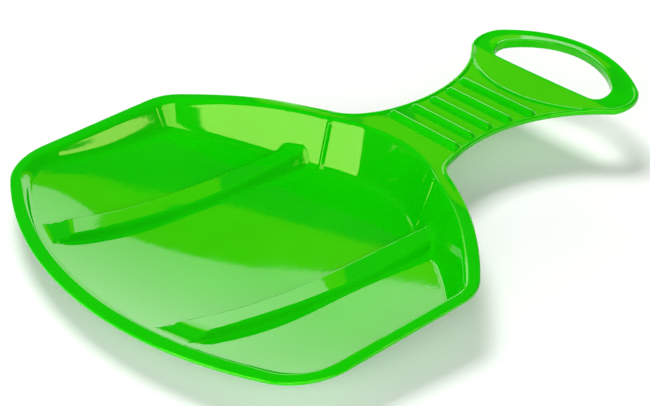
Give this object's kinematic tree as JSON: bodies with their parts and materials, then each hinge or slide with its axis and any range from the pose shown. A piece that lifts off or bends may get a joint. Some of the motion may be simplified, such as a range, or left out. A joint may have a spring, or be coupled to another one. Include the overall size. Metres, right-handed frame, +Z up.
{
  "type": "snow slider",
  "caption": "Shovel-shaped plastic snow slider: dished seat pan with raised runners, ribbed neck and a loop handle with a hand slot.",
  "frame": {"origin": "centre of the bounding box on the ground under the level keel", "axes": "+Y forward from the tail to the handle, +X to the sled's right, +Z up"},
  "size_m": [0.35, 0.46, 0.0587],
  "materials": {
    "moulding": "glossy moulded polyethylene, bright green"
  },
  "bodies": {
    "root": {"tail_rim": "moulding", "left_side_rim": "moulding", "right_side_rim": "moulding", "left_shoulder_rim": "moulding", "right_shoulder_rim": "moulding", "neck_plate": "moulding", "handle_plate": "moulding", "handle_grip": "moulding", "left_side_wall": "moulding", "right_side_wall": "moulding", "left_shoulder_wall": "moulding", "right_shoulder_wall": "moulding", "front_wall": "moulding", "left_runner": "moulding", "right_runner": "moulding", "seat_floor": "moulding", "grip_rib_1": "moulding", "grip_rib_2": "moulding", "grip_rib_3": "moulding", "grip_rib_4": "moulding", "grip_rib_5": "moulding"}
  },
  "joints": []
}
